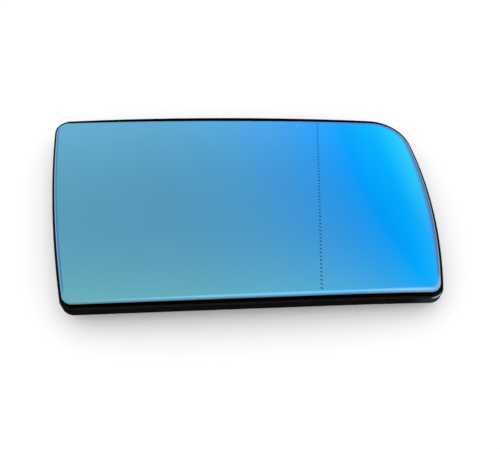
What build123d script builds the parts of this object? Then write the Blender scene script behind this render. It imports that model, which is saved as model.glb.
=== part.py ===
from build123d import *
import math
import os

# Right-hand car door mirror glass: a tinted, aspheric mirror bonded to a moulded backing plate
# that clips onto the mirror adjuster by a collar of hooked tongues. All lengths are millimetres.
# X points outboard along the lower edge, Y up the glass and Z out of its reflecting face. The
# origin is under the middle of the glass, on the plane where the rim of the collar rests.

# Glass outline, between the sharp corners before they are rounded
BOTTOM_LENGTH = 164.7
GLASS_HEIGHT = 112.8
INNER_LEAN = 21.3
TOP_FALL = 11.0
INNER_BOW = 2.4
OUTER_BOW = 5.6
BOTTOM_BOW = 0.8
INNER_TOP_ROUND = 5.8
OUTER_TOP_ROUND = 19.5
OUTER_BOTTOM_ROUND = 5.4
INNER_BOTTOM_ROUND = 5.8

# Bend of the glass: a sphere, then an outer zone whose radius shrinks steadily to its edge
MAIN_RADIUS = 2000.0
OUTER_EDGE_RADIUS = 400.0
ZONE_LINE_OFFSET = 42.0
ZONE_LINE_LEAN = 4.7

# Etched dashes that mark where the outer zone starts
DASH_PITCH = 2.0
DASH_LENGTH = 1.2
DASH_WIDTH = 0.4
DASH_DEPTH = 0.1
DASH_SLANT = 55.0
DASH_EDGE_GAP = 2.5

# Layers behind the reflecting face, from the glass to the plate
GLASS_THICKNESS = 3.0
GLASS_FRONT_ROUND = 2.0
GLASS_BACK_ROUND = 0.5
FOIL_THICKNESS = 0.3
FOIL_INSET = 2.5
PAD_THICKNESS = 1.0
PAD_INSET = 3.5
PLATE_THICKNESS = 1.6

# Rim of the plate round the glass, wider along the top and bottom, and the ribs behind it
PLATE_MARGIN = 1.5
PLATE_TOP_LEDGE = 1.9
PLATE_BOTTOM_LEDGE = 0.8
PLATE_TOP_BOW = 1.0
RIM_WALL = 1.1
LIP_ROUND = 0.7
SKIRT_ROUND = 0.4
LIP_BELOW_FACE = 2.6
SKIRT_DROP = 1.5
RIB_DROP = 2.1
RIB_WALL = 1.4
RIB_COUNT = 8
RING_RIB_RADIUS = 44.0

# Clip collar that snaps over the adjuster's disc
CLIP_RADIUS = 26.0
HOOK_REACH = 1.2
HOOK_LAND = 1.8
COLLAR_WALL = 2.2
COLLAR_HEIGHT = 11.0
COLLAR_ROOT = 2.6
TONGUE_COUNT = 8
TONGUE_GAP = 4.0

# Wire spring that squeezes the tongues, in a groove round the collar
WIRE_DIAMETER = 1.6
WIRE_HEIGHT = 2.4
WIRE_CLEARANCE = 0.1
WIRE_OPENING = 40.0
WIRE_BEND = 2.0
WIRE_LEG = 9.0

# Tab terminals of the heater foil
TAB_WIDTH = 6.3
TAB_THICKNESS = 0.8
TAB_FOOT = 7.0
TAB_REACH = 7.0
TAB_BOND = 0.05
TAB_TIP_CHAMFER = 1.2
TAB_HOLE_DIAMETER = 1.65
TAB_HOLE_FROM_TIP = 3.2
TAB_INBOARD = 60.0
TAB_SPACING = 18.0
TAB_CLEARANCE = 0.6

# Depths below the reflecting face, measured square to it
PAD_FRONT = GLASS_THICKNESS + FOIL_THICKNESS
PLATE_FRONT = PAD_FRONT + PAD_THICKNESS
PLATE_BACK = PLATE_FRONT + PLATE_THICKNESS
PLATE_MIDDLE = (PLATE_FRONT + PLATE_BACK) / 2
SKIRT_END = PLATE_BACK + SKIRT_DROP
FACE_HEIGHT = COLLAR_HEIGHT + PLATE_BACK

# Directions of the bend: across the dashed line and along it
ACROSS = Vector(1, 0, 0).rotate(Axis.Z, -ZONE_LINE_LEAN)
ALONG = Vector(0, 1, 0).rotate(Axis.Z, -ZONE_LINE_LEAN)
BEND_AXIS = Axis((0, 0, FACE_HEIGHT - MAIN_RADIUS), ACROSS)
ZONE_STEPS = 10

# A face of a layer is broad when it looks forward or back to within this angle
BROAD_ANGLE = 25.0
SIDES = LOWER, UPPER = -1, 1


def inside_edge(start, end, margin, bow=0.0):
    """Region inside one edge moved out by a margin: a disc, or a wide square if it is straight."""
    chord = Vector(*end) - Vector(*start)
    middle = (Vector(*start) + Vector(*end)) / 2
    inward = chord.rotate(Axis.Z, -90).normalized()
    if bow:
        radius = (chord.length**2 / 4 + bow**2) / (2 * bow)
        return Pos(middle + inward * (radius - bow)) * Circle(radius + margin)
    wide = 4 * (BOTTOM_LENGTH + GLASS_HEIGHT)
    square = Rectangle(wide, wide, align=(Align.CENTER, Align.MAX))
    turn = math.degrees(math.atan2(chord.Y, chord.X))
    return Pos(middle - inward * margin) * Rot(0, 0, turn) * square


def rounded_outline(margin, top_ledge=0.0, bottom_ledge=0.0, top_bow=0.0):
    """Outline of the glass moved out by a margin, and by a ledge more along its top and bottom.

    A smaller outline, with a margin below zero, keeps the corner rounds of the glass.
    """
    inner_bottom = (0, 0)
    inner_top = (-INNER_LEAN, GLASS_HEIGHT)
    outer_top = (BOTTOM_LENGTH, GLASS_HEIGHT - TOP_FALL)
    outer_bottom = (BOTTOM_LENGTH, 0)
    shape = inside_edge(inner_bottom, inner_top, margin, INNER_BOW)
    shape &= inside_edge(inner_top, outer_top, margin + top_ledge, top_bow)
    shape &= inside_edge(outer_top, outer_bottom, margin, OUTER_BOW)
    shape &= inside_edge(outer_bottom, inner_bottom, margin + bottom_ledge, BOTTOM_BOW)
    rounds = {
        inner_top: INNER_TOP_ROUND,
        outer_top: OUTER_TOP_ROUND,
        outer_bottom: OUTER_BOTTOM_ROUND,
        inner_bottom: INNER_BOTTOM_ROUND,
    }
    for corner, radius in rounds.items():
        vertex = shape.vertices().sort_by_distance(corner)[0]
        shape = fillet(vertex, radius + max(margin, 0))
    return shape


MIDDLE = rounded_outline(0).bounding_box().center()


def glass_outline(inset=0.0):
    """Outline of the glass, or of a layer inset from it, with its middle on the origin."""
    return Pos(-MIDDLE.X, -MIDDLE.Y) * rounded_outline(-inset)


def plate_outline(inset=0.0):
    """Outline of the backing plate, or a line inset from it."""
    ledges = PLATE_TOP_LEDGE, PLATE_BOTTOM_LEDGE, PLATE_TOP_BOW
    outline = rounded_outline(PLATE_MARGIN - inset, *ledges)
    return Pos(-MIDDLE.X, -MIDDLE.Y) * outline


GLASS_BOX = glass_outline().bounding_box()
PLATE_REACH = PLATE_MARGIN + PLATE_TOP_LEDGE + PLATE_BOTTOM_LEDGE + PLATE_TOP_BOW
HALF_SPAN = GLASS_BOX.diagonal / 2 + 2 * PLATE_REACH
ZONE_START = ZONE_LINE_OFFSET + DASH_LENGTH / 2
ZONE_RATE = (1 / OUTER_EDGE_RADIUS - 1 / MAIN_RADIUS) / (6 * (GLASS_BOX.max.X - ZONE_START))


def bend_plane(across):
    """Plane tangent to the reflecting face, on the bend's profile through the collar's axis."""
    beyond = max(0.0, across - ZONE_START)
    root = math.sqrt(MAIN_RADIUS**2 - across**2)
    height = FACE_HEIGHT + root - MAIN_RADIUS - ZONE_RATE * beyond**3
    slope = -across / root - 3 * ZONE_RATE * beyond**2
    tangent = ACROSS + Vector(0, 0, slope)
    return Plane(ACROSS * across + Vector(0, 0, height), tangent, tangent.cross(ALONG))


def bend_curves(depth):
    """Profile of the bend at a depth below the face: an arc, then the tightening outer curve."""
    arc_start = math.degrees(math.acos(-HALF_SPAN / MAIN_RADIUS))
    arc_end = math.degrees(math.acos(ZONE_START / MAIN_RADIUS))
    centre_plane = Plane(BEND_AXIS.position, ACROSS, -ALONG)
    arc = centre_plane * CenterArc((0, 0), MAIN_RADIUS - depth, arc_start, arc_end - arc_start)
    step = (HALF_SPAN - ZONE_START) / ZONE_STEPS
    planes = [bend_plane(ZONE_START + step * i) for i in range(ZONE_STEPS + 1)]
    points = [plane.origin - plane.z_dir * depth for plane in planes]
    return arc, Spline(points, tangents=(planes[0].x_dir, planes[-1].x_dir))


def behind_bend(depth):
    """Block of everything behind the surface at a depth below the reflecting face."""
    arc, curve = bend_curves(depth)
    inner_end = arc @ 0
    outer_end = curve @ 1
    inner_foot = Vector(inner_end.X, inner_end.Y, -FACE_HEIGHT)
    outer_foot = Vector(outer_end.X, outer_end.Y, -FACE_HEIGHT)
    base = Polyline(outer_end, outer_foot, inner_foot, inner_end)
    section = make_face([arc, curve, *base.edges()])
    half_turn = math.degrees(math.asin(HALF_SPAN / (MAIN_RADIUS - 2 * FACE_HEIGHT)))
    return revolve(section.rotate(BEND_AXIS, -half_turn), BEND_AXIS, 2 * half_turn)


def bent_layer(plan, front_depth, back_depth):
    """Layer of a flat plan, bent between two depths below the reflecting face."""
    return (extrude(plan, 2 * FACE_HEIGHT) & behind_bend(front_depth)) - behind_bend(back_depth)


def outer_edges(layer, side):
    """Edges round the front (side 1) or the back (side -1) of a bent layer."""
    least = math.cos(math.radians(BROAD_ANGLE))
    broad = layer.faces().filter_by(lambda face: side * face.normal_at().Z > least)
    edges = broad.edges()
    return [edge for edge in edges if sum(edge.is_same(other) for other in edges) == 1]


def rounded_layer(plan, front_depth, back_depth, front_round, back_round):
    """Bent layer with its front and back edges rounded."""
    layer = bent_layer(plan, front_depth, back_depth)
    layer = fillet(outer_edges(layer, 1), front_round)
    return fillet(outer_edges(layer, -1), back_round)


def seated(shape, place):
    """Shape drawn on the reflecting face, with Z square to it, moved to a place on the bend."""
    plane = bend_plane(place.dot(ACROSS))
    radius = plane.origin.Z - BEND_AXIS.position.Z
    return (plane * shape).rotate(BEND_AXIS, -math.degrees(math.asin(place.dot(ALONG) / radius)))


def dashes():
    """Shallow slanted marks along the line where the outer zone starts."""
    foot = ACROSS * ZONE_LINE_OFFSET
    crossing = (Line(foot - ALONG * HALF_SPAN, foot + ALONG * HALF_SPAN) & glass_outline()).edge()
    low, high = sorted(end.dot(ALONG) for end in (crossing @ 0, crossing @ 1))
    count = int((high - low - 2 * DASH_EDGE_GAP) / DASH_PITCH) + 1
    first = (low + high - DASH_PITCH * (count - 1)) / 2
    slot = SlotOverall(DASH_LENGTH, DASH_WIDTH, rotation=90 + DASH_SLANT)
    mark = extrude(slot, DASH_DEPTH, both=True)
    return [seated(mark, foot + ALONG * (first + DASH_PITCH * i)) for i in range(count)]


def mirror_glass():
    """Bent glass with a ground, rounded edge and the dashes etched in its face."""
    glass = rounded_layer(glass_outline(), 0, GLASS_THICKNESS, GLASS_FRONT_ROUND, GLASS_BACK_ROUND)
    return glass - dashes()


def at_tab(shape, side):
    """Shape drawn round a tab's blade, with X outboard, moved to the lower or upper tab."""
    return seated(Rot(0, 0, ZONE_LINE_LEAN) * shape, Vector(-TAB_INBOARD, side * TAB_SPACING / 2))


def heater_terminal(side):
    """Bent metal tab: a foot flat on the heater foil and a blade out through the plate."""
    face = TAB_THICKNESS / 2
    foot_top = -PAD_FRONT - TAB_BOND
    foot_bottom = foot_top - TAB_THICKNESS
    tip = -PLATE_BACK - TAB_REACH
    outer_bend = (face, foot_top)
    profile = make_face(
        Polyline(
            outer_bend,
            (face, tip),
            (-face, tip),
            (-face, foot_bottom),
            (face - TAB_FOOT, foot_bottom),
            (face - TAB_FOOT, foot_top),
            close=True,
        )
    )
    profile = fillet(profile.vertices().sort_by_distance(outer_bend)[0], TAB_THICKNESS)
    tab = extrude(Plane.XZ * profile, TAB_WIDTH / 2, both=True)
    tab = chamfer(tab.edges().filter_by(Axis.X).group_by(Axis.Z)[0], TAB_TIP_CHAMFER)
    hole = Cylinder(TAB_HOLE_DIAMETER / 2, 2 * TAB_THICKNESS, rotation=(0, 90, 0))
    return at_tab(tab - Pos(0, 0, tip + TAB_HOLE_FROM_TIP) * hole, side)


def adhesive_pad():
    """Foam pad between the foil and the plate, cut out round the feet of the tabs."""
    foot = Pos(TAB_THICKNESS / 2) * Rectangle(TAB_FOOT, TAB_WIDTH, align=(Align.MAX, Align.CENTER))
    cut = extrude(offset(foot, TAB_CLEARANCE), -FACE_HEIGHT)
    pad = bent_layer(glass_outline(PAD_INSET), PAD_FRONT, PLATE_FRONT)
    return pad - [at_tab(cut, side) for side in SIDES]


def clip_collar():
    """Ring of hooked tongues, with a groove round the outside for the wire spring."""
    inside = CLIP_RADIUS + HOOK_REACH
    outside = inside + COLLAR_WALL
    top = COLLAR_HEIGHT + PLATE_THICKNESS / 2
    land_end = HOOK_REACH + HOOK_LAND
    profile = make_face(
        Polyline(
            (inside, 0),
            (outside, 0),
            (outside, top),
            (inside, top),
            (inside, land_end + HOOK_REACH),
            (CLIP_RADIUS, land_end),
            (CLIP_RADIUS, HOOK_REACH),
            close=True,
        )
    )
    profile -= Pos(outside, WIRE_HEIGHT) * Circle(WIRE_DIAMETER / 2 + WIRE_CLEARANCE)
    ring = revolve(Plane.XZ * profile, Axis.Z)
    gap = SlotOverall(2 * (COLLAR_HEIGHT - COLLAR_ROOT), TONGUE_GAP, rotation=90)
    gap = extrude(Plane.YZ * gap, 2 * outside)
    return ring - [Rot(0, 0, 360 * (i + 0.5) / TONGUE_COUNT) * gap for i in range(TONGUE_COUNT)]


def rib_plan():
    """Plan of the ribs: spokes from the collar to the rim, and a ring across them."""
    spoke = Rectangle(2 * HALF_SPAN, RIB_WALL, align=(Align.MIN, Align.CENTER))
    plan = Circle(RING_RIB_RADIUS + RIB_WALL / 2) - Circle(RING_RIB_RADIUS - RIB_WALL / 2)
    plan += [Rot(0, 0, 360 * i / RIB_COUNT) * spoke for i in range(RIB_COUNT)]
    plan -= Circle(CLIP_RADIUS + HOOK_REACH + COLLAR_WALL / 2)
    return plan & plate_outline(RIM_WALL / 2)


def backing_plate():
    """Moulding with a lip round the glass, a bent web, a skirt, ribs and the clip collar."""
    pocket = plate_outline(RIM_WALL)
    plate = rounded_layer(plate_outline(), LIP_BELOW_FACE, SKIRT_END, LIP_ROUND, SKIRT_ROUND)
    plate -= bent_layer(pocket, 0, PLATE_FRONT)
    plate -= bent_layer(pocket, PLATE_BACK, SKIRT_END + SKIRT_DROP)
    plate += bent_layer(rib_plan(), PLATE_MIDDLE, PLATE_BACK + RIB_DROP)
    plate += clip_collar()
    window = Rectangle(TAB_THICKNESS + 2 * TAB_CLEARANCE, TAB_WIDTH + 2 * TAB_CLEARANCE)
    return plate - [at_tab(extrude(window, -FACE_HEIGHT), side) for side in SIDES]


def retaining_spring():
    """Open ring of spring wire round the tongues, with two legs turned out at the bottom."""
    radius = CLIP_RADIUS + HOOK_REACH + COLLAR_WALL
    ring = CenterArc((0, 0), radius, WIRE_OPENING / 2 - 90, 360 - WIRE_OPENING)
    tips = [end + end.normalized() * WIRE_LEG for end in (ring @ 0, ring @ 1)]
    route = Wire([Line(tips[0], ring @ 0), ring, Line(ring @ 1, tips[1])])
    route = Pos(0, 0, WIRE_HEIGHT) * fillet(route.vertices(), WIRE_BEND)
    section = Plane(route @ 0, z_dir=route % 0) * Circle(WIRE_DIAMETER / 2)
    return sweep(section, route)


pieces = {
    "mirror_glass": mirror_glass(),
    "heater_foil": bent_layer(glass_outline(FOIL_INSET), GLASS_THICKNESS, PAD_FRONT),
    "adhesive_pad": adhesive_pad(),
    "backing_plate": backing_plate(),
    "heater_terminal_lower": heater_terminal(LOWER),
    "heater_terminal_upper": heater_terminal(UPPER),
    "retaining_spring": retaining_spring(),
}

os.makedirs("parts", exist_ok=True)
for name, piece in pieces.items():
    export_step(piece, f"parts/{name}.step")
    print(name, round(piece.volume, 1), "mm3")
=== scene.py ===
# %% [markdown]
# # A blue door mirror glass
# The part is a tinted mirror glass for a car door: bent glass with a tighter outer zone behind a
# row of dashes, held on a black moulded plate that clips onto the mirror's adjuster. The solids
# come ready at their real size in one shared frame, in metres. They could be dressed just as they
# are, but a mirror shows every facet that a matt part would hide. So this lesson gives the glass a
# finer mesh of the same shape, and then adds the finishes, the light and the camera.

# %% Load the solids and keep their box
import math

import bmesh
import bpy
from mathutils import Matrix, Vector
from mathutils.geometry import delaunay_2d_cdt


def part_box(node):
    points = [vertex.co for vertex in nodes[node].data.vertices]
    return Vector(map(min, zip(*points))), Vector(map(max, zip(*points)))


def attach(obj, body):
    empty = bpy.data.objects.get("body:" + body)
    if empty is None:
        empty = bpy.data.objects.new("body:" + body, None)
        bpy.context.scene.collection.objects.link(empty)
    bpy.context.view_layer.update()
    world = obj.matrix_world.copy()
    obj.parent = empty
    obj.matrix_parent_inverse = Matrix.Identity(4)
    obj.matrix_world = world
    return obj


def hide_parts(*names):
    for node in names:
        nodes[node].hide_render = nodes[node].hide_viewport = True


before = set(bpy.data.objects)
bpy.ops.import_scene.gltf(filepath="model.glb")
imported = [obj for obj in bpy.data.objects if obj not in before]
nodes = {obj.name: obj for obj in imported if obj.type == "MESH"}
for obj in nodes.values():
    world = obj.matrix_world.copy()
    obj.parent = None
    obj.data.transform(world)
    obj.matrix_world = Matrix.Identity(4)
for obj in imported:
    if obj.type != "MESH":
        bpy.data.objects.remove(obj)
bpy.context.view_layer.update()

MM = 0.001
print("nodes:", ", ".join(sorted(nodes)))

# %% [markdown]
# ## The outline of the glass
# The outline has four edges, three of them bowed, with rounded corners. It could be a list of
# points, but real glass is cut along arcs, and a chain of arcs stays smooth at any fineness. A
# round that touches two arcs has its centre where the two arcs, shrunk by its radius, cross.
# Complex numbers do this plane geometry in double precision, which the nearly straight edges need.

# %% Corners, bows and rounds, as on the solid
BOTTOM_LENGTH = 164.7 * MM
GLASS_HEIGHT = 112.8 * MM
INNER_LEAN = 21.3 * MM
TOP_FALL = 11.0 * MM
STRAIGHT = 0.0001 * MM
BOWS = [2.4 * MM, STRAIGHT, 5.6 * MM, 0.8 * MM]
ROUNDS = [5.8 * MM, 5.8 * MM, 19.5 * MM, 5.4 * MM]
CORNERS = [
    complex(0, 0),
    complex(-INNER_LEAN, GLASS_HEIGHT),
    complex(BOTTOM_LENGTH, GLASS_HEIGHT - TOP_FALL),
    complex(BOTTOM_LENGTH, 0),
]
print("corners mm:", [(round(spot.real / MM, 1), round(spot.imag / MM, 1)) for spot in CORNERS])


# %% Find the arcs
def edge_arc(start, end, bow):
    """Centre and radius of the arc between two corners that bows outwards."""
    chord = end - start
    radius = (abs(chord) ** 2 / 4 + bow**2) / (2 * bow)
    return (start + end) / 2 - 1j * chord / abs(chord) * (radius - bow), radius


def crossing(first, second, near):
    """The point near a corner where two circles cross."""
    (start, start_radius), (end, end_radius) = first, second
    gap = abs(end - start)
    along = (gap**2 + start_radius**2 - end_radius**2) / (2 * gap)
    aside = math.sqrt(start_radius**2 - along**2)
    points = [start + (end - start) / gap * complex(along, side) for side in (aside, -aside)]
    return min(points, key=lambda point: abs(point - near))


def angle_of(number):
    """The direction of a complex number, in radians."""
    return math.atan2(number.imag, number.real)


def outline_arcs():
    """Arcs of the outline, clockwise: centre, radius, first and last direction."""
    count = len(CORNERS)
    edges = [edge_arc(CORNERS[i], CORNERS[(i + 1) % count], BOWS[i]) for i in range(count)]
    centres = []
    for i, (corner, radius) in enumerate(zip(CORNERS, ROUNDS)):
        shrunk = [(centre, size - radius) for centre, size in (edges[i - 1], edges[i])]
        centres.append(crossing(*shrunk, corner))
    arcs = []
    for i in range(count):
        before, after, following = edges[i - 1][0], edges[i][0], centres[(i + 1) % count]
        turn = angle_of(centres[i] - after)
        arcs.append((centres[i], ROUNDS[i], angle_of(centres[i] - before), turn))
        arcs.append((after, edges[i][1], turn, angle_of(following - after)))
    return arcs


arcs = outline_arcs()
print("radii of the arcs mm:", [round(radius / MM, 1) for _, radius, _, _ in arcs])

# %% Place points along the arcs
OUTLINE_STEP = 1.5 * MM
CORNER_STEP = math.radians(4)


def toward(angle):
    """The complex number of length 1 in a direction."""
    return complex(math.cos(angle), math.sin(angle))


def glass_outline():
    """Points of the outline, clockwise round its middle, each with its outward direction."""
    points = []
    for centre, radius, start, end in arcs:
        sweep = (start - end) % (2 * math.pi)
        steps = math.ceil(max(sweep * radius / OUTLINE_STEP, sweep / CORNER_STEP))
        for step in range(steps):
            outward = toward(start - sweep * step / steps)
            points.append((centre + radius * outward, outward))
    reals = [point.real for point, _ in points]
    heights = [point.imag for point, _ in points]
    middle = complex(min(reals) + max(reals), min(heights) + max(heights)) / 2
    return [(point - middle, outward) for point, outward in points]


outline = glass_outline()
outer_reach = max(point.real for point, _ in outline)
print("outline points:", len(outline), "half width mm:", round(outer_reach / MM, 2))

# %% [markdown]
# ## The bend of the glass
# Most of the face is part of a sphere. Past the dashed line the radius shrinks steadily to the
# outer edge, so the driver sees a wider view there. A second sphere beside the first would leave a
# step in the reflection. So one sphere runs through, and a cubic term that starts at the line adds
# the tighter bend. The second derivative of a cubic grows by 6 times its rate, and so the rate
# follows from the radius at the outer edge.

# %% Height of the bent face
MAIN_RADIUS = 2000.0 * MM
OUTER_EDGE_RADIUS = 400.0 * MM
ZONE_LINE_OFFSET = 42.0 * MM
ZONE_LINE_LEAN = math.radians(4.7)
DASH_LENGTH = 1.2 * MM
FACE_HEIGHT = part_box("mirror_glass")[1].z
ZONE_START = ZONE_LINE_OFFSET + DASH_LENGTH / 2
ZONE_RATE = (1 / OUTER_EDGE_RADIUS - 1 / MAIN_RADIUS) / (6 * (outer_reach - ZONE_START))
ACROSS = toward(-ZONE_LINE_LEAN)
ALONG = 1j * ACROSS


def from_line(point):
    """A point of the plan turned so that its parts run across and along the dashed line."""
    return point * ACROSS.conjugate()


def face_height(point):
    """Height of the reflecting face over a point of the plan."""
    turned = from_line(point)
    beyond = max(0.0, turned.real - ZONE_START)
    profile = math.sqrt(MAIN_RADIUS**2 - turned.real**2) - ZONE_RATE * beyond**3
    return FACE_HEIGHT - MAIN_RADIUS + math.sqrt(profile**2 - turned.imag**2)


outer_drop = FACE_HEIGHT - face_height(complex(outer_reach, 0))
print("drop at the outer edge mm:", round(outer_drop / MM, 2))

# %% [markdown]
# ## The ground edge as rings
# The edge of the glass is ground round: a large round in front that catches the light, a straight
# band, and a small round behind. A bevel modifier could round it, but the colours of the edge need
# to know how far round it each point is. So rings of points follow the outline at chosen insets and
# depths, and each ring keeps its way round the edge.

# %% Rings round the edge
GLASS_THICKNESS = 3.0 * MM
FRONT_ROUND = 2.0 * MM
BACK_ROUND = 0.5 * MM
FRONT_STEPS = 12
BACK_STEPS = 4
BACK_WAY = 2


def edge_profile():
    """Inset, depth and way of each ring, from the face round the edge to the back.

    The way is 0 where the front round starts, 1 where it ends, 2 where the back round starts and 3
    on the back.
    """
    profile = []
    for step in range(FRONT_STEPS + 1):
        share = step / FRONT_STEPS
        turn = toward(math.pi / 2 * share)
        profile.append((FRONT_ROUND * (1 - turn.imag), FRONT_ROUND * (1 - turn.real), share))
    for step in range(BACK_STEPS + 1):
        share = step / BACK_STEPS
        turn = toward(math.pi / 2 * share)
        depth = GLASS_THICKNESS - BACK_ROUND * (1 - turn.imag)
        profile.append((BACK_ROUND * (1 - turn.real), depth, BACK_WAY + share))
    return profile


rings = edge_profile()
print("rings:", len(rings), "of", len(outline), "points")

# %% [markdown]
# ## Points over the face
# A face could be one large polygon, but then it would stay flat inside. A grid of points carries
# the bend. One more row of points just inside the round keeps the turn of the edge out of the
# face, where a mirror would show it as a dark border.

# %% Lay points over the face
BAND_WIDTH = 2.0 * MM
GRID_MARGIN = 2.5 * MM
GRID_STEP = 3.0 * MM


def ring_plan(inset):
    """The outline moved in by an inset."""
    return [point - outward * inset for point, outward in outline]


def grid_inside(inset):
    """Grid points that lie inside the outline by at least an inset."""
    reach = math.ceil(outer_reach / GRID_STEP)
    fence = ring_plan(inset)
    sides = [(a, b - a) for a, b in zip(fence, fence[1:] + fence[:1])]
    found = []
    for column in range(-reach, reach + 1):
        for row in range(-reach, reach + 1):
            spot = complex(column, row) * GRID_STEP * ACROSS
            if all(((spot - start).conjugate() * side).imag > 0 for start, side in sides):
                found.append(spot)
    return found


face_points = ring_plan(FRONT_ROUND + BAND_WIDTH) + grid_inside(FRONT_ROUND + GRID_MARGIN)
print("points on a face:", len(face_points))

# %% [markdown]
# ## The dashed line
# Slanted dashes etched into the face show the driver where the outer zone starts. They could be
# painted on, but on the real glass they are shallow grooves, and grooves keep their shape in an
# exported mesh. Each is a slot with round ends. They repeat along the line, centred between the top
# and bottom edges. Etching frosts the rim of a groove too, so each is drawn a tenth of a millimetre
# wider than on the solid.

# %% Outlines of the dashes
DASH_PITCH = 2.0 * MM
DASH_WIDTH = 0.5 * MM
DASH_SLANT = math.radians(55)
DASH_EDGE_GAP = 2.5 * MM
DASH_END_STEPS = 5


def dash_outline(middle):
    """A slot with round ends, turned by the slant."""
    direction = ALONG * toward(DASH_SLANT)
    reach = (DASH_LENGTH - DASH_WIDTH) / 2
    points = []
    for end in (1, -1):
        for step in range(DASH_END_STEPS + 1):
            bulge = toward(math.pi * (step / DASH_END_STEPS - 0.5)) * DASH_WIDTH / 2
            points.append(middle + end * direction * (reach + bulge))
    return points


def dash_places():
    """Middles of the dashes along the line."""
    turned = [from_line(point) for point, _ in outline]
    ends = []
    for start, end in zip(turned, turned[1:] + turned[:1]):
        if (start.real - ZONE_LINE_OFFSET) * (end.real - ZONE_LINE_OFFSET) <= 0:
            share = (ZONE_LINE_OFFSET - start.real) / (end.real - start.real)
            ends.append((start + (end - start) * share).imag)
    low, high = min(ends), max(ends)
    count = int((high - low - 2 * DASH_EDGE_GAP) / DASH_PITCH) + 1
    first = (low + high - DASH_PITCH * (count - 1)) / 2
    return [ACROSS * complex(ZONE_LINE_OFFSET, first + DASH_PITCH * i) for i in range(count)]


dashes = [dash_outline(middle) for middle in dash_places()]
print("dashes:", len(dashes))

# %% [markdown]
# ## Filling the two faces
# The front face needs even triangles with the dashes let into them. A boolean cut would leave long
# thin slivers that a mirror shows. A Delaunay triangulation takes the outline, the dashes and the
# points over the face together and keeps the triangles even. It also says which input outline each
# triangle came from, and that is how the dashes are found again.

# %% Triangulate the faces
WELD = 0.001 * MM
DASH_CLEARANCE = 1.6 * MM
INSIDE_ONLY = 1


def filled(ring, marks):
    """Fills a ring of points with triangles that follow the marks.

    Gives the points, which of them lie on the ring, the triangles, and which of those are in marks.
    """
    spots = list(ring)
    loops = [list(range(len(ring)))]
    for mark in marks:
        loops.append(list(range(len(spots), len(spots) + len(mark))))
        spots.extend(mark)
    for spot in face_points:
        beside = abs(from_line(spot).real - ZONE_LINE_OFFSET)
        if not marks or beside > DASH_CLEARANCE:
            spots.append(spot)
    plane = [Vector((spot.real, spot.imag)) for spot in spots]
    found = delaunay_2d_cdt(plane, [], loops, INSIDE_ONLY, WELD / 10)
    points, _, triangles, origins, _, sources = found
    on_ring = [any(origin < len(ring) for origin in group) for group in origins]
    in_mark = [any(source > 0 for source in group) for group in sources]
    return [complex(*point) for point in points], on_ring, triangles, in_mark


front = filled(ring_plan(rings[0][0]), dashes)
back = filled(ring_plan(rings[-1][0]), [])
print("triangles in front:", len(front[2]), "of them in the dashes:", sum(front[3]))
print("triangles behind:", len(back[2]))

# %% [markdown]
# ## Joining the faces and the edge
# The dashes are pushed into the front face as one extrusion, and a second material slot paints
# their floors. Quads between the rings close the edge. An attribute of the points keeps their way
# round the edge, because a finish can read it later. It is below zero over the face, so the colours
# of the edge can start just inside the round. An extrusion adds its faces in no fixed order, so
# points and faces are sorted at the end, and the mesh is the same each time.

# %% Add points and faces
EDGE_WAY = "edge_way"
BAND_WAY = -0.5


def add_points(mesh, plan, depth, ways):
    """Adds points at a depth below the reflecting face, with their ways round the edge."""
    layer = mesh.verts.layers.float[EDGE_WAY]
    made = [mesh.verts.new((p.real, p.imag, face_height(p) - depth)) for p in plan]
    for vertex, way in zip(made, ways):
        vertex[layer] = way
    return made


def add_face(mesh, fill, ring, inner_way):
    """Adds a filled face at the depth of its ring and gives back the triangles in marks."""
    points, on_ring, triangles, in_mark = fill
    _, depth, way = ring
    made = add_points(mesh, points, depth, [way if edge else inner_way for edge in on_ring])
    marked = []
    for corners, inside in zip(triangles, in_mark):
        triangle = mesh.faces.new([made[i] for i in corners])
        if inside:
            marked.append(triangle)
    return marked


print("ways round the edge:", BAND_WAY, "to", rings[-1][-1])

# %% Build the glass
DASH_DEPTH = 0.1 * MM
SHARP_ANGLE = math.radians(40)


def sink_dashes(mesh, marked):
    """Pushes the marked triangles into the face and gives their floors the second slot."""
    grooves = bmesh.ops.extrude_face_region(mesh, geom=marked)["geom"]
    bmesh.ops.delete(mesh, geom=marked, context="FACES_ONLY")
    bottoms = [part for part in grooves if isinstance(part, bmesh.types.BMVert)]
    bmesh.ops.translate(mesh, verts=bottoms, vec=(0, 0, -DASH_DEPTH))
    for part in grooves:
        if isinstance(part, bmesh.types.BMFace):
            part.material_index = 1


def sort_by(place, elements):
    """Puts the points or faces of a mesh in the order of their places."""
    ranks = {element: rank for rank, element in enumerate(sorted(elements, key=place))}
    elements.sort(key=ranks.get)


def build_glass():
    """The glass as one closed mesh: two faces, the dashes and the rings round the edge."""
    mesh = bmesh.new()
    mesh.verts.layers.float.new(EDGE_WAY)
    sink_dashes(mesh, add_face(mesh, front, rings[0], BAND_WAY))
    add_face(mesh, back, rings[-1], rings[-1][-1])
    loops = []
    for inset, depth, way in rings:
        loops.append(add_points(mesh, ring_plan(inset), depth, [way] * len(outline)))
    for upper, lower in zip(loops, loops[1:]):
        for i in range(len(upper)):
            mesh.faces.new((upper[i - 1], upper[i], lower[i], lower[i - 1]))
    bmesh.ops.remove_doubles(mesh, verts=mesh.verts, dist=WELD)
    bmesh.ops.recalc_face_normals(mesh, faces=mesh.faces)
    sort_by(lambda vertex: tuple(vertex.co), mesh.verts)
    sort_by(lambda face: tuple(face.calc_center_median()), mesh.faces)
    data = bpy.data.meshes.new("bent_glass")
    mesh.to_mesh(data)
    mesh.free()
    data.shade_smooth()
    data.set_sharp_from_angle(angle=SHARP_ANGLE)
    made = bpy.data.objects.new("bent_glass", data)
    bpy.context.scene.collection.objects.link(made)
    return made


glass = build_glass()
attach(glass, "root")
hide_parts("mirror_glass")
print("glass triangles:", sum(len(face.vertices) - 2 for face in glass.data.polygons))

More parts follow.
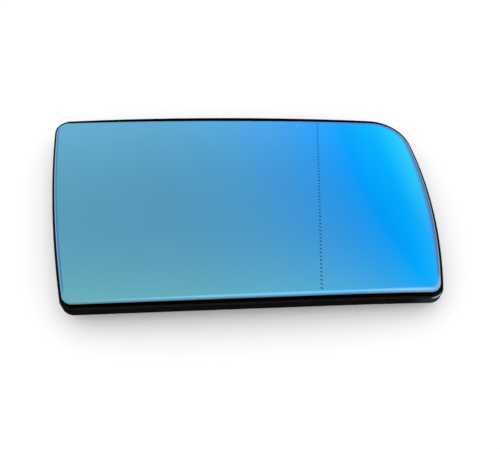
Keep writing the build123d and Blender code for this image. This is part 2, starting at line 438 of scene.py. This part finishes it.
# %% [markdown]
# ## A small language for finishes
# Every finish here is a tree of shader nodes. It could be drawn in the node editor, or added node
# by node in Python, which is long to read. So one small class wraps an output socket: sums on it
# add Math nodes, and its one method adds any other node, with the settings first and then the
# values or links of its sockets.


# %% Wrap a socket so that Python sums make Math nodes
def set_stops(ramp, stops):
    """Gives a colour ramp its stops: pairs of a place and a colour."""
    while len(ramp.elements) < len(stops):
        ramp.elements.new(1.0)
    for element, (place, colour) in zip(ramp.elements, stops):
        element.position = place
        element.color = colour


class Wire:
    """An output socket of a node tree that can be used in sums."""

    def __init__(self, tree, socket=None):
        self.tree = tree
        self.socket = socket

    def node(self, kind, settings=None, sockets=None, output=0):
        """Adds a node: settings first, then the values or links of its sockets."""
        made = self.tree.nodes.new(kind)
        for name, value in (settings or {}).items():
            if name == "stops":
                set_stops(made.color_ramp, value)
            else:
                setattr(made, name, value)
        inputs = {socket.identifier: socket for socket in made.inputs}
        for name, value in (sockets or {}).items():
            if isinstance(value, Wire):
                self.tree.links.new(value.socket, inputs[name])
            else:
                inputs[name].default_value = value
        outputs = {socket.identifier: socket for socket in made.outputs}
        return Wire(self.tree, outputs[output] if output else made.outputs[0])

    def math(self, operation, first, second):
        """Adds a Math node on two wires or numbers."""
        sockets = {"Value": first, "Value_001": second}
        return self.node("ShaderNodeMath", {"operation": operation}, sockets)

    def __add__(self, other):
        return self.math("ADD", self, other)

    __radd__ = __add__

    def __sub__(self, other):
        return self.math("SUBTRACT", self, other)

    def __rsub__(self, other):
        return self.math("SUBTRACT", other, self)

    def __mul__(self, other):
        return self.math("MULTIPLY", self, other)

    __rmul__ = __mul__

    def __truediv__(self, other):
        return self.math("DIVIDE", self, other)

    def __rtruediv__(self, other):
        return self.math("DIVIDE", other, self)

    def at_least(self, other):
        """The larger of two values."""
        return self.math("MAXIMUM", self, other)

    def fade(self, low, high):
        """0 up to low, 1 from high on, and smooth between them."""
        sockets = {"Value": self, "From Min": low, "From Max": high}
        return self.node("ShaderNodeMapRange", {"interpolation_type": "SMOOTHSTEP"}, sockets)

    def blend(self, below, above):
        """The colour below where this wire is 0, and the colour above where it is 1."""
        sockets = {"Factor_Float": self, "A_Color": below, "B_Color": above}
        return self.node("ShaderNodeMix", {"data_type": "RGBA"}, sockets, "Result_Color")


print("a wire can:", ", ".join(name for name in vars(Wire) if not name.startswith("__")))

# %% [markdown]
# ## Starting a finish
# Metal, plastic and foam can all start from one principled shader. What is the same all over a
# surface is set on that shader's own sockets, and only what varies is wired. Patterns could lie on
# an unwrapped sheet, but solid noise in the object's own metres needs no unwrapping and keeps its
# real scale. Colours are written as they look on a screen, which is how a maker matches them.


# %% Helpers that start and feed a finish
def screen(*levels):
    """A colour as it looks on a screen, 0 to 255, as the light that shaders count in."""
    shares = [level / 255 for level in levels]
    light = [s / 12.92 if s <= 0.04045 else ((s + 0.055) / 1.055) ** 2.4 for s in shares]
    return (*light, 1.0)


def finish_for(name, **constants):
    """A new material, its first wire, and its shader with the constant values set."""
    material = bpy.data.materials.new(name)
    material.use_nodes = True
    shader = material.node_tree.nodes["Principled BSDF"]
    for socket, value in constants.items():
        shader.inputs[socket.replace("_", " ")].default_value = value
    return material, Wire(material.node_tree), shader


def feed(shader, **wires):
    """Links wires to the sockets of a shader."""
    for socket, wire in wires.items():
        wire.tree.links.new(wire.socket, shader.inputs[socket.replace("_", " ")])


def place_on(start):
    """The place on the object in its own frame, in metres."""
    return start.node("ShaderNodeTexCoord", output="Object")


def part_of(vector, axis):
    """One part of a vector: X, Y or Z."""
    return vector.node("ShaderNodeSeparateXYZ", {}, {"Vector": vector}, axis)


def noise(place, size, detail=2.0, roughness=0.5):
    """Soft noise whose blotches are about as wide as size, in metres."""
    sockets = {"Vector": place, "Scale": 1 / size, "Detail": detail, "Roughness": roughness}
    return place.node("ShaderNodeTexNoise", {}, sockets)


print("a screen grey of 128 is", round(screen(128, 128, 128)[0], 3), "in light")

# %% [markdown]
# ## The blue mirror coating and the sky it reflects
# The coating is a thin metal layer under a blue interference film. Its colour drifts from a greyish
# teal on the inner side to a strong azure over the outer zone, and it looks a little lighter
# towards the top and the bottom. Part of that drift is the tint of the film and part is the sky
# that the glass reflects. Thin films can be worked out from physics, but their real layers aren't
# known here. A metallic shader with little roughness gives the mirror, so the tint and the
# reflected sky are painted into the base colour together: one ramp that leans and bows a little
# across the glass, which is tint and painted reflection, two soft lifts towards the top and the
# bottom and a pale glare near the outer edge, which are painted reflection, and faint clouds that
# keep it from looking printed.

# %% Tint the coating and paint the reflected sky
# The ramp's colours hold both the film's tint and a painted reflection of the sky.
TINT_AND_REFLECTION_STOPS = [
    (0.0, screen(90, 157, 185)),
    (0.3, screen(85, 153, 186)),
    (0.5, screen(76, 153, 200)),
    (0.64, screen(63, 150, 215)),
    (0.74, screen(43, 149, 228)),
    (0.83, screen(2, 154, 247)),
    (0.92, screen(0, 171, 251)),
    (1.0, screen(34, 200, 245)),
]
TINT_START = -85.0 * MM
TINT_SPAN = 185.0 * MM
TINT_RISE = 0.32
TINT_BOW = 3.0
MID_LINE = -14.0 * MM
TOP_REACH = 62.0 * MM
BOTTOM_REACH = 46.0 * MM
PLAIN = (1.0, 1.0, 1.0, 1.0)
# The lifts to the top and the bottom are painted reflection of the sky.
TOP_REFLECTION_LIFT = (1.25, 1.25, 1.29, 1.0)
BOTTOM_REFLECTION_LIFT = (1.5, 1.37, 1.07, 1.0)
# A pale glare near the outer edge, painted reflection.
PAINTED_GLARE = screen(200, 222, 255)
PAINTED_GLARE_RUN = (80 * MM, 96 * MM)
PAINTED_GLARE_COVER = 0.03
CLOUD_SIZE = 40 * MM
CLOUD_DARK = (0.97, 0.97, 0.98, 1.0)
CLOUD_PALE = (1.03, 1.03, 1.02, 1.0)


def ramp(wire, stops):
    """A colour ramp along a wire that runs from 0 to 1."""
    return wire.node("ShaderNodeValToRGB", {"stops": stops}, {"Fac": wire})


def on_vectors(operation, first, second, output=0):
    """Vector Math on two colours or vectors."""
    sockets = {"Vector": first, "Vector_001": second}
    return first.node("ShaderNodeVectorMath", {"operation": operation}, sockets, output)


def times(first, second):
    """Two colours or vectors multiplied part by part."""
    return on_vectors("MULTIPLY", first, second)


def tint_and_reflection(place):
    """Coating tint with painted sky reflection: a ramp, lighter to top, bottom and outer edge."""
    outboard = part_of(place, "X")
    height = part_of(place, "Y") - MID_LINE
    run = (outboard + height * TINT_RISE - height * height * TINT_BOW - TINT_START) / TINT_SPAN
    above = height.at_least(0.0) / TOP_REACH
    below = (0.0 - height).at_least(0.0) / BOTTOM_REACH
    colour = times(ramp(run, TINT_AND_REFLECTION_STOPS), (above * above).blend(PLAIN, TOP_REFLECTION_LIFT))
    colour = times(colour, (below * below).blend(PLAIN, BOTTOM_REFLECTION_LIFT))
    # Painted reflection: a pale glare mixed in near the outer edge.
    glare = outboard.fade(*PAINTED_GLARE_RUN) * PAINTED_GLARE_COVER
    cloud = noise(place, CLOUD_SIZE).blend(CLOUD_DARK, CLOUD_PALE)
    return times(glare.blend(colour, PAINTED_GLARE), cloud)


mirror, mirror_start, mirror_shader = finish_for("blue_mirror", Metallic=1.0)
on_glass = place_on(mirror_start)
coating_and_reflection = tint_and_reflection(on_glass)
print("nodes for the tint:", len(mirror.node_tree.nodes))

# %% [markdown]
# ## Dust and smears
# A mirror that has been handled shows a few specks of dust and faint smears from wiping. Specks
# could be small pieces of mesh, but they have no thickness to speak of, so they are mixed into the
# colour and dull the shine. A Voronoi texture has one point in each cell. Only some cells get a
# speck, and soft noise thins them out in patches. Smears only dull the shine.

# %% Scatter the dust and wipe the glass
DUST = screen(196, 214, 226)
DUST_COVER = 0.22
SPECK_SPACING = 9 * MM
SPECK_SIZE = 0.8 * MM
SPECK_SHARE = 0.14
SPECK_CORE = 0.4
SPECK_CUT = 0.001
PATCH_SIZE = 6 * MM
PATCH_RUN = (0.38, 0.62)
CLEAN_FROM = (30 * MM, 55 * MM)
SMEAR_SIZE = 18 * MM
SMEAR_RUN = (0.45, 0.75)


def specks(place, spacing, size, share):
    """Sparse round specks: 1 in a speck. Only some of the cells have one."""
    settings = {"feature": "F1", "voronoi_dimensions": "2D"}
    sockets = {"Vector": place, "Scale": 1 / spacing, "Randomness": 1.0}
    distance = place.node("ShaderNodeTexVoronoi", settings, sockets, "Distance")
    cell = place.node("ShaderNodeTexVoronoi", settings, sockets, "Color")
    chance = cell.node("ShaderNodeSeparateColor", {}, {"Color": cell}, "Red")
    radius = size / spacing / 2
    chosen = chance.fade(1 - share, 1 - share + SPECK_CUT)
    return (1.0 - distance.fade(radius * SPECK_CORE, radius)) * chosen


patches = noise(on_glass, PATCH_SIZE).fade(*PATCH_RUN)
inboard = 1.0 - part_of(on_glass, "X").fade(*CLEAN_FROM)
dust = specks(on_glass, SPECK_SPACING, SPECK_SIZE, SPECK_SHARE) * patches * inboard
dusty = (dust * DUST_COVER).blend(coating_and_reflection, DUST)
smear = noise(on_glass, SMEAR_SIZE, detail=4.0, roughness=0.6).fade(*SMEAR_RUN)
print("nodes with dust and smears:", len(mirror.node_tree.nodes))

# %% [markdown]
# ## The colours of the ground edge
# The round edge bends the light on its way to the coating and back. It shows the tint darker and
# greyer, with a pale line before it falls off to the plate. Clear glass over a coated back would
# bend the light by itself, but such a finish can't be baked for the exported model. So the light
# and shade of the edge are painted into its colour, over the way round the edge: the tint is
# greyed, a painted highlight runs along a line, and a grey ramp paints the shade. On the outer side
# the greying reaches onto the face as a painted, greyer reflection. Each side of the glass catches
# the light in its own way, so there is one shade ramp for the inner and upper side, one for the
# outer side and one for the lower edge.

# %% Ramps and runs of the ground edge
# The grey of the ground edge; the outer grey is also a painted reflection, the pale line a painted
# highlight.
GROUND_BLUE = screen(79, 129, 173)
OUTER_GROUND_AND_REFLECTION = screen(78, 130, 202)
PAINTED_HIGHLIGHT = screen(140, 190, 245)
LOWER_EDGE = (46 * MM, 54 * MM)
OUTER_SIDE = (62 * MM, 88 * MM)
OUTER_SLOPE = 0.5
OUTER_CORNER = (45 * MM, 86 * MM)
INNER_GREY_RUN = (0.0, 0.2)
OUTER_GREY_RUN = (BAND_WAY, 0.15)
LOWER_GREY_RUN = (0.5, 0.8)
UPPER_GREY = 0.85
LOWER_GREY = 0.5
LINE_START = (0.3, 0.5)
LINE_END = (0.58, 0.75)
LOWER_LINE_START = (0.0, 0.2)
INNER_LINE = 0.5
OUTER_LINE_LOSS = 0.2
LOWER_LINE = 0.1
CORNER_LINE_GAIN = 0.65


def on_ramp(way):
    """A way, as a number or a wire, turned into the 0 to 1 of a ramp that ends with the round."""
    return (way - BAND_WAY) / (1 - BAND_WAY)


def shade_stops(*lines):
    """Stops of a grey ramp over the way round the edge: pairs of a way and its share of light."""
    return [(on_ramp(way), (share, share, share, 1.0)) for way, share in lines]


INNER_SHADE = shade_stops(
    (0.0, 1.0), (0.22, 0.82), (0.38, 0.85), (0.52, 1.0), (0.66, 1.0), (0.8, 0.28), (1.0, 0.01)
)
OUTER_SHADE = shade_stops((-0.2, 1.0), (0.03, 0.92), (0.16, 0.66), (0.7, 0.6), (1.0, 0.01))
LOWER_SHADE = shade_stops(
    (0.0, 1.0), (0.2, 0.93), (0.5, 0.93), (0.82, 0.5), (0.95, 0.05), (1.0, 0.01)
)
print("stops of the edge ramps:", [len(stops) for stops in (INNER_SHADE, OUTER_SHADE, LOWER_SHADE)])


# %% Shade the ground edge
def between(mask, below, above):
    """The value below where the mask is 0, and the value above where it is 1."""
    return below * (1.0 - mask) + above * mask


def ground_edge(colour, way, place):
    """The tint through the ground edge: greyed, with a painted highlight line and painted shade."""
    outboard, upward = part_of(place, "X"), part_of(place, "Y")
    low = (0.0 - upward).fade(*LOWER_EDGE)
    outer = (outboard + upward * OUTER_SLOPE).fade(*OUTER_SIDE)
    corner = outboard.fade(*OUTER_CORNER)
    upper_grey = between(outer, way.fade(*INNER_GREY_RUN), way.fade(*OUTER_GREY_RUN)) * UPPER_GREY
    lower_grey = way.fade(*LOWER_GREY_RUN) * LOWER_GREY
    ground = outer.blend(GROUND_BLUE, OUTER_GROUND_AND_REFLECTION)
    colour = between(low, upper_grey, lower_grey).blend(colour, ground)
    # A painted highlight along a line round the upper edges, and one along the lower edge that is
    # strongest at the lower outer corner.
    upper_line = way.fade(*LINE_START) * (1.0 - way.fade(*LINE_END))
    upper_line = upper_line * (INNER_LINE - outer * OUTER_LINE_LOSS)
    lower_line = way.fade(*LOWER_LINE_START) * (LOWER_LINE + corner * CORNER_LINE_GAIN)
    colour = between(low, upper_line, lower_line).blend(colour, PAINTED_HIGHLIGHT)
    # The grey ramps paint the shade round the edge.
    run = on_ramp(way)
    upper_shade = outer.blend(ramp(run, INNER_SHADE), ramp(run, OUTER_SHADE))
    return times(colour, low.blend(upper_shade, ramp(run, LOWER_SHADE)))


edge_way = mirror_start.node("ShaderNodeAttribute", {"attribute_name": EDGE_WAY}, {}, "Fac")
mirror_colour = ground_edge(dusty, edge_way, on_glass)
print("nodes with the ground edge:", len(mirror.node_tree.nodes))

# %% [markdown]
# ## The polish of the mirror
# A clean mirror is almost perfectly smooth. It is duller where it was wiped, where dust lies and
# where its edge is ground. A bump for these would bend the reflection as well, so they only add to
# the roughness.

# %% Feed the mirror finish
POLISHED = 0.03
SMEAR_DULLS = 0.03
DUST_DULLS = 0.3
GROUND_DULLS = 0.22
GROUND_RUN = (0.02, 0.3)

mirror_roughness = POLISHED + smear * SMEAR_DULLS + dust * DUST_DULLS
mirror_roughness = mirror_roughness + edge_way.fade(*GROUND_RUN) * GROUND_DULLS
feed(mirror_shader, Base_Color=mirror_colour, Roughness=mirror_roughness)
glass.data.materials.append(mirror)
print("first finish of the glass:", mirror.name)

# %% [markdown]
# ## The etched dashes
# Etching removes the coating and leaves frosted glass with the dark layers behind it. The floors
# of the grooves have a material slot of their own, so no mask has to find them. Their finish is
# dull, with a fine frost, and drifts from a dark teal at the lower end to a deep blue at the upper
# end, as the coating round them gets bluer.

# %% Mix the etched glass
LOW_ETCH = [screen(0, 56, 94), screen(0, 68, 110)]
HIGH_ETCH = [screen(0, 74, 150), screen(0, 90, 176)]
ETCH_RUN = (-50 * MM, 50 * MM)
FROST_SIZE = 0.4 * MM
FROST_GRAIN = 0.2 * MM
FROST_ROUGHNESS = 0.5
FROST_VARIES = 0.2


def etched_dash():
    """Frosted glass without its coating."""
    material, start, shader = finish_for("etched_dash", Specular_IOR_Level=0.0)
    place = place_on(start)
    frost = noise(place, FROST_SIZE)
    rise = part_of(place, "Y").fade(*ETCH_RUN)
    colour = rise.blend(frost.blend(*LOW_ETCH), frost.blend(*HIGH_ETCH))
    roughness = FROST_ROUGHNESS + noise(place, FROST_GRAIN) * FROST_VARIES
    feed(shader, Base_Color=colour, Roughness=roughness)
    return material


glass.data.materials.append(etched_dash())
print("glass finishes:", ", ".join(material.name for material in glass.data.materials))

# %% [markdown]
# ## The black moulding
# The plate is moulded in black plastic, which is never one flat black: the skin varies with the
# flow of the melt, and dust settles on what faces up. The back is shinier, and the same black is
# painted as two copies: paler on the back, a painted lift of its shaded ribs, and darker on the
# front, a painted shade. These areas could be painted by hand as masks, but the surface normal
# already tells them apart, and it still does when the shape changes.

# %% Mix the skin of the moulding
# Two copies of one black: the darker one is painted shade, the paler one on the back painted light.
SHADED_RIM_SKIN = [screen(5, 5, 5), screen(9, 8, 7)]
LIT_REAR_SKIN = [screen(15, 15, 15), screen(25, 24, 23)]
SKIN_FLOW = 14 * MM
UPWARD_RUN = (0.3, 0.95)
REAR_RUN = (0.05, 0.6)
PLATE_DUST = screen(120, 116, 110)
PLATE_DUST_SIZE = 1.6 * MM
PLATE_DUST_RUN = (0.5, 0.8)
PLATE_DUST_COVER = 0.08

moulding, moulding_start, moulding_shader = finish_for(
    "black_moulding", Specular_IOR_Level=0.0, Coat_Roughness=0.3
)
on_plate = place_on(moulding_start)
facing = part_of(moulding_start.node("ShaderNodeNewGeometry", output="Normal"), "Z")
upward = facing.fade(*UPWARD_RUN)
rear = (0.0 - facing).fade(*REAR_RUN)
flow = noise(on_plate, SKIN_FLOW, detail=3.0, roughness=0.55)
specked = noise(on_plate, PLATE_DUST_SIZE, detail=4.0, roughness=0.7).fade(*PLATE_DUST_RUN)
settled = upward * specked
# The back takes the paler, painted-light copy, and the rest takes the darker, painted-shade copy.
skin = rear.blend(flow.blend(*SHADED_RIM_SKIN), flow.blend(*LIT_REAR_SKIN))
skin = (settled * PLATE_DUST_COVER).blend(skin, PLATE_DUST)
print("nodes for the skin:", len(moulding.node_tree.nodes))

# %% [markdown]
# ## The highlight on the corner
# The round of the rim at the lower outer corner catches a grey highlight, with a faint sheen round
# it on the outer wall. Both are painted into the colour: a painted highlight and a painted sheen.
# It could be a picture laid over the corner, but the distance from one point and the normal are
# enough to place it, and noise breaks up its outline.

# %% Paint the highlight on the corner
CORNER_HIGHLIGHT = screen(150, 165, 160)
HIGHLIGHT_PLACE = (88.2 * MM, -57.2 * MM, 10.2 * MM)
HIGHLIGHT_REACH = (1.0 * MM, 3.6 * MM)
HIGHLIGHT_FACING = (0.0, 0.4)
HIGHLIGHT_TOP = (0.8, 1.0)
HIGHLIGHT_PATCH = 1.2 * MM
HIGHLIGHT_PATCH_RUN = (0.1, 0.4)
HIGHLIGHT_COVER = 0.9
SHEEN_REACH = (3 * MM, 13 * MM)
SHEEN_COVER = 0.05


def reach_from(place, point):
    """How far a place is from a point, in metres."""
    return on_vectors("DISTANCE", place, point, "Value")


reach = reach_from(on_plate, HIGHLIGHT_PLACE)
# A painted highlight on the round of the lip at the corner, broken up by noise.
near_highlight = (1.0 - reach.fade(*HIGHLIGHT_REACH)) * facing.fade(*HIGHLIGHT_FACING)
highlight = near_highlight * (1.0 - facing.fade(*HIGHLIGHT_TOP))
highlight = highlight * noise(on_plate, HIGHLIGHT_PATCH).fade(*HIGHLIGHT_PATCH_RUN)
# A painted sheen on the outer wall round the corner.
sheen = (1.0 - reach.fade(*SHEEN_REACH)) * (1.0 - upward) * (1.0 - rear) * SHEEN_COVER
highlighted = (highlight * HIGHLIGHT_COVER + sheen).blend(skin, CORNER_HIGHLIGHT)
print("nodes with the scuff:", len(moulding.node_tree.nodes))

# %% [markdown]
# ## The grain of the plate
# The mould was spark-eroded, and that leaves a fine matt grain on the plastic. It could be
# displaced in the mesh, but at a fifth of a millimetre that would take millions of faces. So it is
# a bump at its real scale. A thin coat on the shader stands for the shine of the smoother areas.

# %% Grain the plate and feed its finish
GRAIN_SIZE = 0.22 * MM
GRAIN_DEPTH = 0.02 * MM
GRAIN_STRENGTH = 0.5
PLATE_ROUGHNESS = 0.45
FLOW_DULLS = 0.2
SETTLED_DULLS = 0.2
SIDE_SHINE = 0.03
UPPER_SHINE = 0.1
REAR_SHINE = 0.4


def bump(height, depth, strength):
    """A normal for a relief of that depth, in metres."""
    sockets = {"Height": height, "Distance": depth, "Strength": strength}
    return height.node("ShaderNodeBump", {}, sockets)


def paint(node, material):
    """Gives a CAD node one material in all its slots."""
    for slot in nodes[node].material_slots:
        slot.material = material
    print(node, "is", material.name)


grain = noise(on_plate, GRAIN_SIZE, detail=3.0, roughness=0.6)
feed(
    moulding_shader,
    Base_Color=highlighted,
    Roughness=PLATE_ROUGHNESS + flow * FLOW_DULLS + settled * SETTLED_DULLS,
    Coat_Weight=SIDE_SHINE + upward * UPPER_SHINE + rear * REAR_SHINE,
    Normal=bump(grain, GRAIN_DEPTH, GRAIN_STRENGTH),
)
paint("backing_plate", moulding)

# %% [markdown]
# ## The layers between glass and plate
# A thin heating film sticks to the back of the glass, and a foam pad bonds both to the plate. Only
# their edges can be seen, in the gap round the glass and in the windows for the tabs. The film is
# amber plastic with a printed track. The track could be drawn as a curve, but so little of it shows
# that the bands of a wave texture are enough. The foam is dark and full of small cells, so a
# Voronoi texture gives its pits, and their floors are painted darker, a painted shade in the cells.

# %% Mix the film and the foam
FILM_AMBER = screen(176, 112, 48)
FILM_ROUGHNESS = 0.35
TRACK_BROWN = screen(70, 44, 26)
TRACK_SCALE = 60.0
TRACK_RUN = (0.45, 0.55)
FOAM_PIT_SHADE = screen(22, 22, 22)
FOAM_WALL = screen(44, 44, 43)
FOAM_CELL = 0.35 * MM
FOAM_RUN = (0.1, 0.7)
FOAM_ROUGHNESS = 0.8
CELLS_DULL = 0.15
PIT_DEPTH = 0.1 * MM
PIT_STRENGTH = 0.6


def heater_film():
    """Amber film with a printed track."""
    material, start, shader = finish_for("heater_film", Roughness=FILM_ROUGHNESS)
    place = place_on(start)
    settings = {"wave_type": "BANDS", "bands_direction": "Y"}
    track = place.node("ShaderNodeTexWave", settings, {"Vector": place, "Scale": TRACK_SCALE})
    feed(shader, Base_Color=track.fade(*TRACK_RUN).blend(FILM_AMBER, TRACK_BROWN))
    return material


def bonding_foam():
    """Dark foam with open cells."""
    material, start, shader = finish_for("bonding_foam", Specular_IOR_Level=0.2)
    place = place_on(start)
    sockets = {"Vector": place, "Scale": 1 / FOAM_CELL}
    cells = place.node("ShaderNodeTexVoronoi", {}, sockets, "Distance")
    # Darker in the pits: painted shade.
    colour = cells.fade(*FOAM_RUN).blend(FOAM_PIT_SHADE, FOAM_WALL)
    roughness = FOAM_ROUGHNESS + cells * CELLS_DULL
    pits = bump(cells, PIT_DEPTH, PIT_STRENGTH)
    feed(shader, Base_Color=colour, Roughness=roughness, Normal=pits)
    return material


paint("heater_foil", heater_film())
paint("adhesive_pad", bonding_foam())

# %% [markdown]
# ## The metal pieces behind
# The heater's tabs are stamped from tinned brass and the ring is drawn spring wire. Stamping leaves
# fine lines along the blade and drawing leaves lines along the wire. An anisotropic shader could
# give the shine of such lines, but not the lines themselves. Noise that is stretched, by scaling
# the place before it is used, makes them in the colour, the shine and the relief.

# %% Mix the metals
TIN_BRASS = [screen(160, 132, 84), screen(214, 196, 150)]
SPRING_STEEL = [screen(112, 114, 118), screen(186, 188, 192)]
BLADE_STRETCH = (1.0, 8.0, 1.0)
WIRE_STRETCH = (3.0, 3.0, 9.0)
LINE_SIZE = 0.5 * MM
LINE_DEPTH = 0.01 * MM
LINE_STRENGTH = 0.4
STAIN_SIZE = 3 * MM
STAIN_RUN = (0.45, 0.75)
STAIN_COVER = 0.5
METAL_ROUGHNESS = 0.25
LINES_DULL = 0.15
STAIN_DULLS = 0.1


def drawn_metal(name, colours, stretch):
    """Metal with fine lines: noise that is squeezed across them."""
    material, start, shader = finish_for(name, Metallic=1.0)
    place = place_on(start)
    lines = noise(times(place, stretch), LINE_SIZE, detail=3.0, roughness=0.6)
    stain = noise(place, STAIN_SIZE, detail=3.0, roughness=0.6).fade(*STAIN_RUN)
    colour = (stain * STAIN_COVER).blend(lines.blend(*colours), colours[0])
    roughness = METAL_ROUGHNESS + lines * LINES_DULL + stain * STAIN_DULLS
    relief = bump(lines, LINE_DEPTH, LINE_STRENGTH)
    feed(shader, Base_Color=colour, Roughness=roughness, Normal=relief)
    return material


tab_brass = drawn_metal("tab_brass", TIN_BRASS, BLADE_STRETCH)
spring_wire = drawn_metal("spring_wire", SPRING_STEEL, WIRE_STRETCH)
for node in ("heater_terminal_lower", "heater_terminal_upper"):
    paint(node, tab_brass)
paint("retaining_spring", spring_wire)

# %% [markdown]
# ## Floor and world
# The part lies on a plain pale floor. A mirror shows its surroundings, so these are kept even. A
# furnished studio could surround it, but it would print itself on the glass. The world is white
# at a strength of one, in which a colour renders as it is written, and the floor is nearly as
# white, so that no horizon shows.

# %% Lay the floor and whiten the world
FLOOR_SIZE = 6.0
FLOOR_WHITE = screen(253, 253, 253)


def lay_floor():
    """A plain floor under the part, which isn't part of the object."""
    mesh = bpy.data.meshes.new("studio_floor")
    half = FLOOR_SIZE / 2
    corners = [(-half, -half, 0), (half, -half, 0), (half, half, 0), (-half, half, 0)]
    mesh.from_pydata(corners, [], [(0, 1, 2, 3)])
    floor = bpy.data.objects.new("studio_floor", mesh)
    bpy.context.scene.collection.objects.link(floor)
    matt = {"Base_Color": FLOOR_WHITE, "Roughness": 0.9, "Specular_IOR_Level": 0.0}
    mesh.materials.append(finish_for("studio_floor", **matt)[0])


def white_world():
    """Even white light from all round."""
    world = bpy.data.worlds.new("studio")
    bpy.context.scene.world = world
    world.use_nodes = True
    background = world.node_tree.nodes["Background"]
    background.inputs["Color"].default_value = PLAIN
    background.inputs["Strength"].default_value = 1.0


lay_floor()
white_world()
print("floor of", FLOOR_SIZE, "m under a white world")

# %% [markdown]
# ## The lamp
# One large lamp in front adds a little direction, so the round edge and the lip of the plate catch
# light. A small lamp would do that too, but a mirror shows its lamps. This one is large and weak,
# and its light fades out towards its rim, so no hard circle shows in the glass.

# %% Hang the lamp
KEY_PLACE = (0.15, -0.57, 0.81)
KEY_SIZE = 1.25
KEY_POWER = 2.1
LAMP_CORE = 0.33
LAMP_RIM = 0.5


def soft_lamp(name, place, size, power):
    """A round lamp that looks at the origin and fades out towards its rim."""
    lamp = bpy.data.lights.new(name, "AREA")
    lamp.shape = "DISK"
    lamp.size = size
    lamp.energy = power
    lamp.use_nodes = True
    tree = lamp.node_tree
    spot = Wire(tree).node("ShaderNodeNewGeometry", output="Position")
    strength = 1.0 - reach_from(spot, place).fade(size * LAMP_CORE, size * LAMP_RIM)
    tree.links.new(strength.socket, tree.nodes["Emission"].inputs["Strength"])
    holder = bpy.data.objects.new(name, lamp)
    holder.location = place
    holder.rotation_euler = (-Vector(place)).to_track_quat("-Z", "Y").to_euler()
    bpy.context.scene.collection.objects.link(holder)
    print("lamp", name, power, "W")


soft_lamp("key", KEY_PLACE, KEY_SIZE, KEY_POWER)

# %% [markdown]
# ## The camera
# The camera stands in front of the lower edge and looks down on the glass at a little over fifty
# degrees, close enough for the far edge to look shorter. The view is rolled by two degrees. It
# could be aimed by a constraint, but a matrix from distance, elevation and roll says outright where
# it stands.

# %% Set the camera
FOCAL_PIXELS = 560.0
IMAGE_WIDTH = 500.0
SENSOR_WIDTH = 36.0
NEAREST = 10 * MM
CAMERA_DISTANCE = 260.9 * MM
CAMERA_ELEVATION = math.radians(54.38)
CAMERA_ROLL = math.radians(-2.22)
CAMERA_TARGET = Vector((7.82 * MM, -19.38 * MM, FACE_HEIGHT))


def set_camera():
    """The camera at the photograph's angle."""
    data = bpy.data.cameras.new("camera")
    data.sensor_fit = "HORIZONTAL"
    data.sensor_width = SENSOR_WIDTH
    data.lens = FOCAL_PIXELS / IMAGE_WIDTH * SENSOR_WIDTH
    data.clip_start = NEAREST
    camera = bpy.data.objects.new("camera", data)
    back = Vector((0, -math.cos(CAMERA_ELEVATION), math.sin(CAMERA_ELEVATION)))
    tilt = Matrix.Rotation(math.pi / 2 - CAMERA_ELEVATION, 4, "X")
    roll = Matrix.Rotation(CAMERA_ROLL, 4, "Z")
    camera.matrix_world = Matrix.Translation(CAMERA_TARGET + back * CAMERA_DISTANCE) @ tilt @ roll
    bpy.context.scene.collection.objects.link(camera)
    bpy.context.scene.camera = camera
    print("camera at mm:", [round(x / MM, 1) for x in camera.matrix_world.translation])


set_camera()
bpy.context.scene.view_settings.view_transform = "Standard"

# %% [markdown]
